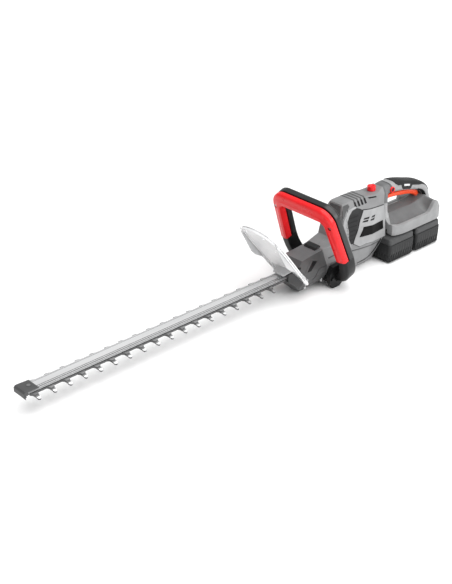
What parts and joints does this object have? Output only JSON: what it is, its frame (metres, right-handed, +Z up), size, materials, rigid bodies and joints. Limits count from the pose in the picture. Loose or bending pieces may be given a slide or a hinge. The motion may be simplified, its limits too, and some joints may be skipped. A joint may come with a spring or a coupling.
{
  "type": "hedge trimmer",
  "caption": "Cordless hedge trimmer with a double-sided reciprocating blade, loop front handle, clear hand guard and turning rear handle over slide-in batteries.",
  "frame": {"origin": "on the ground, under the middle of the machine's length and width", "axes": "+X from the blade tip to the rear handle, +Y to the right side of a person who holds it, +Z up"},
  "size_m": [1.005, 0.1728, 0.1922],
  "materials": {
    "aluminium_bar": "satin extruded",
    "dark_plastic": "fine moulded texture",
    "steel_parts": "zinc plated",
    "blade_steel": "ground",
    "clear_guard": "clear moulded",
    "gear_steel": "machined",
    "motor_iron": "plain",
    "black_plastic": "fine moulded texture",
    "light_plastic": "satin moulded",
    "black_gloss": "gloss",
    "board_green": "coated",
    "red_plastic": "gloss",
    "soft_grip": "soft touch",
    "badge_grey": "satin",
    "orange_plastic": "gloss",
    "battery_plastic": "moulded texture",
    "terminal_brass": "tinned",
    "cell_steel": "wrapped"
  },
  "bodies": {
    "machine": {"guide_bar": "aluminium_bar", "tip_cap": "dark_plastic", "blade_bushes": "steel_parts", "blade_washers": "steel_parts", "blade_screws": "steel_parts", "hand_guard": "clear_guard", "guard_screws": "steel_parts", "gearcase_upper": "dark_plastic", "gearcase_lower": "dark_plastic", "gearcase_screws": "steel_parts", "crank_bearings": "steel_parts", "motor_can": "motor_iron", "motor_bearings": "steel_parts", "housing_left": "dark_plastic", "housing_right": "dark_plastic", "housing_screws": "steel_parts", "side_panel_left": "light_plastic", "side_panel_right": "light_plastic", "intake_panels": "black_plastic", "badge_plates": "black_gloss", "control_board": "board_green", "front_switch": "black_plastic", "handle_shell": "black_plastic", "handle_brackets": "black_plastic", "handle_bolts": "steel_parts", "switch_bar_springs": "steel_parts", "turn_ring": "steel_parts", "lock_spring": "steel_parts"},
    "crank": {"drive_gear": "gear_steel"},
    "motor_rotor": {"rotor": "motor_iron", "pinion": "gear_steel", "fan": "black_plastic"},
    "upper_comb": {"upper_blade": "blade_steel"},
    "lower_comb": {"lower_blade": "blade_steel"},
    "front_switch_bar": {"switch_bar": "red_plastic", "switch_bar_screws": "steel_parts"},
    "lock_knob": {"rotation_lock": "red_plastic"},
    "rear_handle": {"turn_hub": "dark_plastic", "rear_shell_left": "light_plastic", "rear_shell_right": "light_plastic", "rear_shell_screws": "steel_parts", "grip_overmould": "soft_grip", "grip_badge": "badge_grey", "saddle": "dark_plastic", "rear_switch": "black_plastic", "switch_spring": "steel_parts", "trigger_pin": "steel_parts", "battery_rails": "black_plastic", "terminal_blocks": "terminal_brass"},
    "rear_trigger": {"trigger": "orange_plastic"},
    "lock_off": {"lock_off_button": "red_plastic"},
    "battery_front": {"battery_front_case": "battery_plastic", "battery_front_lid": "battery_plastic", "battery_front_cells": "cell_steel"},
    "front_latch": {"battery_front_latch": "black_plastic"},
    "battery_rear": {"battery_rear_case": "battery_plastic", "battery_rear_lid": "battery_plastic", "battery_rear_cells": "cell_steel"},
    "rear_latch": {"battery_rear_latch": "black_plastic"}
  },
  "joints": [
    {"name": "crank_turn", "type": "hinge", "parent": "machine", "child": "crank", "pos_m": [0.142, 0, 0.038], "axis": [0, 0, 1], "range_deg": [-90, 90]},
    {"name": "rotor_spin", "type": "hinge", "parent": "machine", "child": "motor_rotor", "pos_m": [0.166, 0, 0.05633], "axis": [1, 0, 0], "range_deg": [-361, 361]},
    {"name": "upper_blade_stroke", "type": "slide", "parent": "machine", "child": "upper_comb", "axis": [1, 0, 0], "range_m": [-0.0078, 0.0078]},
    {"name": "lower_blade_stroke", "type": "slide", "parent": "machine", "child": "lower_comb", "axis": [1, 0, 0], "range_m": [-0.0078, 0.0078]},
    {"name": "front_switch_press", "type": "slide", "parent": "machine", "child": "front_switch_bar", "axis": [0.9342, 0, 0.3567], "range_m": [0, 0.0025], "stiffness_N_per_m": 2500, "springref_m": -0.002},
    {"name": "rotation_lock_pull", "type": "slide", "parent": "machine", "child": "lock_knob", "axis": [-1, 0, 0], "range_m": [0, 0.007], "stiffness_N_per_m": 600, "springref_m": -0.003},
    {"name": "rear_handle_turn", "type": "hinge", "parent": "machine", "child": "rear_handle", "pos_m": [0.358, 0, 0.098], "axis": [1, 0, 0], "range_deg": [-90, 90]},
    {"name": "trigger_pull", "type": "hinge", "parent": "rear_handle", "child": "rear_trigger", "pos_m": [0.462, 0, 0.118], "axis": [0, 1, 0], "range_deg": [0, 5.5], "stiffness_Nm_per_rad": 3, "springref_deg": -3.44},
    {"name": "lock_off_press", "type": "slide", "parent": "rear_handle", "child": "lock_off", "axis": [0, 1, 0], "range_m": [-0.003, 0.003], "stiffness_N_per_m": 700},
    {"name": "battery_front_out", "type": "slide", "parent": "rear_handle", "child": "battery_front", "axis": [0, 1, 0], "range_m": [0, 0.088]},
    {"name": "front_latch_press", "type": "slide", "parent": "battery_front", "child": "front_latch", "axis": [0, -1, 0], "range_m": [0, 0.003], "stiffness_N_per_m": 900, "springref_m": -0.001},
    {"name": "battery_rear_out", "type": "slide", "parent": "rear_handle", "child": "battery_rear", "axis": [0, 1, 0], "range_m": [0, 0.088]},
    {"name": "rear_latch_press", "type": "slide", "parent": "battery_rear", "child": "rear_latch", "axis": [0, -1, 0], "range_m": [0, 0.003], "stiffness_N_per_m": 900, "springref_m": -0.001}
  ],
  "couplings": [
    {"joint": "rotor_spin", "follows": "crank_turn", "ratio": 4},
    {"joint": "upper_blade_stroke", "follows": "crank_turn", "m_per_rad": -0.0049338},
    {"joint": "lower_blade_stroke", "follows": "crank_turn", "m_per_rad": 0.0049338}
  ]
}
